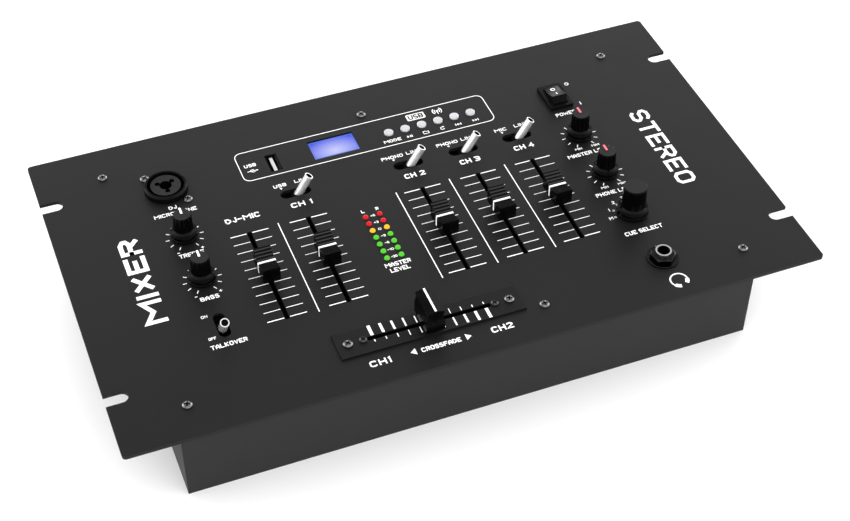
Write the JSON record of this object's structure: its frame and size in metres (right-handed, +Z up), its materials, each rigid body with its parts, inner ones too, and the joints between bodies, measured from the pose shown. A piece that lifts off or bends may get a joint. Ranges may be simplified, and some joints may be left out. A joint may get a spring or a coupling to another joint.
{
  "type": "dj mixer",
  "caption": "Rack-style DJ mixer: a flat eared panel with sliding faders, rotary knobs, lever switches, sockets and a media player strip over a shallow folded steel chassis.",
  "frame": {"origin": "under the middle of the front panel, on the plane of the chassis walls' lower edges", "axes": "+X to the right along the panel's length, +Y to the rear, +Z up out of the panel"},
  "size_m": [0.36, 0.209, 0.0766],
  "materials": {
    "panel_paint": "satin black powder coat",
    "chassis_paint": "satin black powder coat",
    "plate_paint": "fine textured black",
    "screw_steel": "nickel plated",
    "dark_screw": "dark zinc",
    "zinc_steel": "zinc plated",
    "black_nickel": "glossy black nickel",
    "bright_chrome": "polished",
    "brass_plate": "satin",
    "knob_plastic": "semi-gloss black",
    "cap_plastic": "satin black",
    "switch_plastic": "semi-gloss black",
    "socket_plastic": "satin black",
    "button_plastic": "light grey",
    "display_lens": "clear window over a blue backlight",
    "led_red": "tinted lens",
    "led_yellow": "tinted lens",
    "led_green": "tinted lens",
    "print_white": "screen print",
    "board_resin": "soldermask",
    "core_iron": "varnished laminations"
  },
  "bodies": {
    "root": {"front_panel": "panel_paint", "chassis_tub": "chassis_paint", "bottom_cover": "chassis_paint", "m3_screws": "screw_steel", "fader_screws": "dark_screw", "crossfader_plate": "plate_paint", "fader_frames": "zinc_steel", "pot_bodies": "zinc_steel", "pot_nuts": "black_nickel", "toggle_bodies": "switch_plastic", "power_switch_frame": "switch_plastic", "mic_socket_shell": "socket_plastic", "mic_socket_insert": "socket_plastic", "headphone_socket": "bright_chrome", "headphone_nut": "black_nickel", "headphone_washer": "black_nickel", "usb_socket": "zinc_steel", "display_module": "display_lens", "meter_leds": "led_green", "player_board": "board_resin", "main_board": "board_resin", "mains_transformer": "core_iron", "cable_gland": "socket_plastic", "rca_sockets": "bright_chrome", "ground_terminal": "brass_plate", "board_standoffs": "zinc_steel"},
    "mic_fader": {"mic_fader_cap": "cap_plastic", "mic_fader_carriage": "zinc_steel"},
    "ch1_fader": {"ch1_fader_cap": "cap_plastic", "ch1_fader_carriage": "zinc_steel"},
    "ch2_fader": {"ch2_fader_cap": "cap_plastic", "ch2_fader_carriage": "zinc_steel"},
    "ch3_fader": {"ch3_fader_cap": "cap_plastic", "ch3_fader_carriage": "zinc_steel"},
    "ch4_fader": {"ch4_fader_cap": "cap_plastic", "ch4_fader_carriage": "zinc_steel"},
    "crossfader": {"crossfader_cap": "cap_plastic", "crossfader_carriage": "zinc_steel"},
    "treble_control": {"treble_knob": "knob_plastic", "treble_shaft": "zinc_steel"},
    "bass_control": {"bass_knob": "knob_plastic", "bass_shaft": "zinc_steel"},
    "master_control": {"master_knob": "knob_plastic", "master_shaft": "zinc_steel"},
    "phones_control": {"phones_knob": "knob_plastic", "phones_shaft": "zinc_steel"},
    "cue_control": {"cue_knob": "knob_plastic", "cue_shaft": "zinc_steel"},
    "ch1_switch_lever": {"ch1_lever": "bright_chrome"},
    "ch2_switch_lever": {"ch2_lever": "bright_chrome"},
    "ch3_switch_lever": {"ch3_lever": "bright_chrome"},
    "ch4_switch_lever": {"ch4_lever": "bright_chrome"},
    "talkover_switch_lever": {"talkover_lever": "bright_chrome"},
    "rocker": {"power_rocker": "switch_plastic"},
    "mode_key": {"mode_button": "button_plastic"},
    "play_key": {"play_button": "button_plastic"},
    "folder_key": {"folder_button": "button_plastic"},
    "repeat_key": {"repeat_button": "button_plastic"},
    "previous_key": {"previous_button": "button_plastic"},
    "next_key": {"next_button": "button_plastic"}
  },
  "joints": [
    {"name": "mic_fader_slide", "type": "slide", "parent": "root", "child": "mic_fader", "axis": [0, 1, 0], "range_m": [-0.03, 0.03]},
    {"name": "ch1_fader_slide", "type": "slide", "parent": "root", "child": "ch1_fader", "axis": [0, 1, 0], "range_m": [-0.03, 0.03]},
    {"name": "ch2_fader_slide", "type": "slide", "parent": "root", "child": "ch2_fader", "axis": [0, 1, 0], "range_m": [-0.03, 0.03]},
    {"name": "ch3_fader_slide", "type": "slide", "parent": "root", "child": "ch3_fader", "axis": [0, 1, 0], "range_m": [-0.03, 0.03]},
    {"name": "ch4_fader_slide", "type": "slide", "parent": "root", "child": "ch4_fader", "axis": [0, 1, 0], "range_m": [-0.03, 0.03]},
    {"name": "crossfader_slide", "type": "slide", "parent": "root", "child": "crossfader", "axis": [1, 0, 0], "range_m": [-0.03, 0.03]},
    {"name": "treble_turn", "type": "hinge", "parent": "root", "child": "treble_control", "pos_m": [-0.1158, 0.0236, 0.058], "axis": [0, 0, 1], "range_deg": [-150, 150]},
    {"name": "bass_turn", "type": "hinge", "parent": "root", "child": "bass_control", "pos_m": [-0.1158, -0.009, 0.058], "axis": [0, 0, 1], "range_deg": [-150, 150]},
    {"name": "master_turn", "type": "hinge", "parent": "root", "child": "master_control", "pos_m": [0.1041, 0.0236, 0.058], "axis": [0, 0, 1], "range_deg": [-150, 150]},
    {"name": "phones_turn", "type": "hinge", "parent": "root", "child": "phones_control", "pos_m": [0.1041, -0.009, 0.058], "axis": [0, 0, 1], "range_deg": [-150, 150]},
    {"name": "cue_turn", "type": "hinge", "parent": "root", "child": "cue_control", "pos_m": [0.1041, -0.0416, 0.058], "axis": [0, 0, 1], "range_deg": [0, 120]},
    {"name": "ch1_lever_tilt", "type": "hinge", "parent": "root", "child": "ch1_switch_lever", "pos_m": [-0.0528, 0.0351, 0.0544], "axis": [0, 1, 0], "range_deg": [-62, 0]},
    {"name": "ch2_lever_tilt", "type": "hinge", "parent": "root", "child": "ch2_switch_lever", "pos_m": [0.0099, 0.0351, 0.0544], "axis": [0, 1, 0], "range_deg": [-62, 0]},
    {"name": "ch3_lever_tilt", "type": "hinge", "parent": "root", "child": "ch3_switch_lever", "pos_m": [0.0413, 0.0351, 0.0544], "axis": [0, 1, 0], "range_deg": [-62, 0]},
    {"name": "ch4_lever_tilt", "type": "hinge", "parent": "root", "child": "ch4_switch_lever", "pos_m": [0.0725, 0.0351, 0.0544], "axis": [0, 1, 0], "range_deg": [-62, 0]},
    {"name": "talkover_lever_tilt", "type": "hinge", "parent": "root", "child": "talkover_switch_lever", "pos_m": [-0.1154, -0.042, 0.0544], "axis": [1, 0, 0], "range_deg": [-62, 0]},
    {"name": "power_rocker_tilt", "type": "hinge", "parent": "root", "child": "rocker", "pos_m": [0.105, 0.0566, 0.0583], "axis": [1, 0, 0], "range_deg": [0, 32]},
    {"name": "mode_press", "type": "slide", "parent": "root", "child": "mode_key", "axis": [0, 0, -1], "range_m": [0, 0.0006], "stiffness_N_per_m": 800},
    {"name": "play_press", "type": "slide", "parent": "root", "child": "play_key", "axis": [0, 0, -1], "range_m": [0, 0.0006], "stiffness_N_per_m": 800},
    {"name": "folder_press", "type": "slide", "parent": "root", "child": "folder_key", "axis": [0, 0, -1], "range_m": [0, 0.0006], "stiffness_N_per_m": 800},
    {"name": "repeat_press", "type": "slide", "parent": "root", "child": "repeat_key", "axis": [0, 0, -1], "range_m": [0, 0.0006], "stiffness_N_per_m": 800},
    {"name": "previous_press", "type": "slide", "parent": "root", "child": "previous_key", "axis": [0, 0, -1], "range_m": [0, 0.0006], "stiffness_N_per_m": 800},
    {"name": "next_press", "type": "slide", "parent": "root", "child": "next_key", "axis": [0, 0, -1], "range_m": [0, 0.0006], "stiffness_N_per_m": 800}
  ]
}
